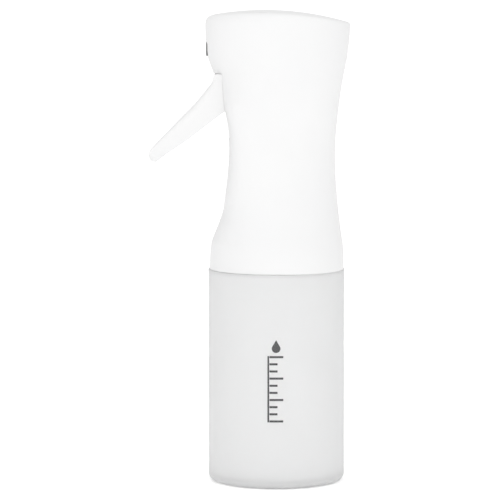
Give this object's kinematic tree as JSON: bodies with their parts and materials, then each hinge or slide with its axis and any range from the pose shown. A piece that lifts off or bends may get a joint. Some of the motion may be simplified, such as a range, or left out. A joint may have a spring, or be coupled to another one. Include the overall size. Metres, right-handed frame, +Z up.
{
  "type": "hand mister",
  "caption": "Continuous-mist spray bottle: a frosted cylinder with a waisted white head, a front trigger and a small dark nozzle; the head unscrews to refill.",
  "frame": {"origin": "centre of the footprint box, at the level the bottle stands on; the bottle's axis stands 9.55 mm behind it, at x = +0.00955", "axes": "+Z up along the bottle's axis; the spray leaves along -X, on the trigger's side; +Y is the head's right-hand side as seen from the user behind it, looking along -X; the object is the same on both sides of the XZ plane"},
  "size_m": [0.0709, 0.048, 0.1662],
  "materials": {
    "white_plastic": "smooth satin white polypropylene",
    "frosted_plastic": "frosted translucent, milky",
    "clear_tube": "translucent natural polyethylene tube",
    "natural_plastic": "unpigmented milky plastic",
    "dark_plastic": "dark grey moulded, satin",
    "rubber": "soft grey elastomer",
    "steel": "stainless, bright drawn"
  },
  "bodies": {
    "bottle": {"bottle": "frosted_plastic"},
    "gasket": {"neck_gasket": "rubber"},
    "head": {"shroud": "white_plastic", "screw_collar": "natural_plastic", "pump_housing": "natural_plastic", "inlet_valve_seat": "natural_plastic", "dip_tube": "clear_tube", "transfer_valve_plug": "natural_plastic", "pump_return_spring": "steel", "buffer_spring": "steel", "nozzle_valve_spring": "steel", "buffer_end_cap": "natural_plastic", "nozzle_cup": "dark_plastic", "swirl_insert": "natural_plastic", "trigger_pivot_pin": "steel"},
    "trigger": {"trigger": "white_plastic"},
    "plunger": {"pump_piston": "white_plastic", "crosshead_pin": "steel", "pump_piston_seal": "rubber"},
    "buffer_piston": {"buffer_piston": "white_plastic", "buffer_piston_seal": "rubber"},
    "inlet_ball": {"inlet_ball": "steel"},
    "transfer_ball": {"transfer_ball": "steel"},
    "nozzle_valve": {"nozzle_valve": "rubber"}
  },
  "joints": [
    {"name": "head_lift", "type": "slide", "parent": "bottle", "child": "gasket", "axis": [0, 0, 1], "range_m": [0, 0.0053]},
    {"name": "head_twist", "type": "hinge", "parent": "gasket", "child": "head", "pos_m": [0.00955, 0, 0.097], "axis": [0, 0, 1], "range_deg": [0, 450]},
    {"name": "trigger_pull", "type": "hinge", "parent": "head", "child": "trigger", "pos_m": [-0.00245, 0, 0.141], "axis": [0, -1, 0], "range_deg": [0, 26], "stiffness_Nm_per_rad": 0.1, "springref_deg": -28.65},
    {"name": "plunger_slide", "type": "slide", "parent": "head", "child": "plunger", "axis": [1, 0, 0], "range_m": [0, 0.0051], "deforming": ["pump_return_spring"]},
    {"name": "buffer_slide", "type": "slide", "parent": "head", "child": "buffer_piston", "axis": [0, 0, -1], "range_m": [0, 0.012], "stiffness_N_per_m": 800, "springref_m": -0.03, "deforming": ["buffer_spring"]},
    {"name": "inlet_ball_lift", "type": "slide", "parent": "head", "child": "inlet_ball", "axis": [0, 0, 1], "range_m": [0, 0.0012]},
    {"name": "transfer_ball_lift", "type": "slide", "parent": "head", "child": "transfer_ball", "axis": [0, 0, 1], "range_m": [0, 0.0012]},
    {"name": "nozzle_valve_slide", "type": "slide", "parent": "head", "child": "nozzle_valve", "axis": [-1, 0, 0], "range_m": [0, 0.0006], "stiffness_N_per_m": 1500, "springref_m": -0.002, "deforming": ["nozzle_valve_spring"]}
  ],
  "couplings": [
    {"joint": "head_lift", "follows": "head_twist", "m_per_rad": 0.00066845},
    {"joint": "plunger_slide", "follows": "trigger_pull", "m_per_rad": 0.011193}
  ]
}
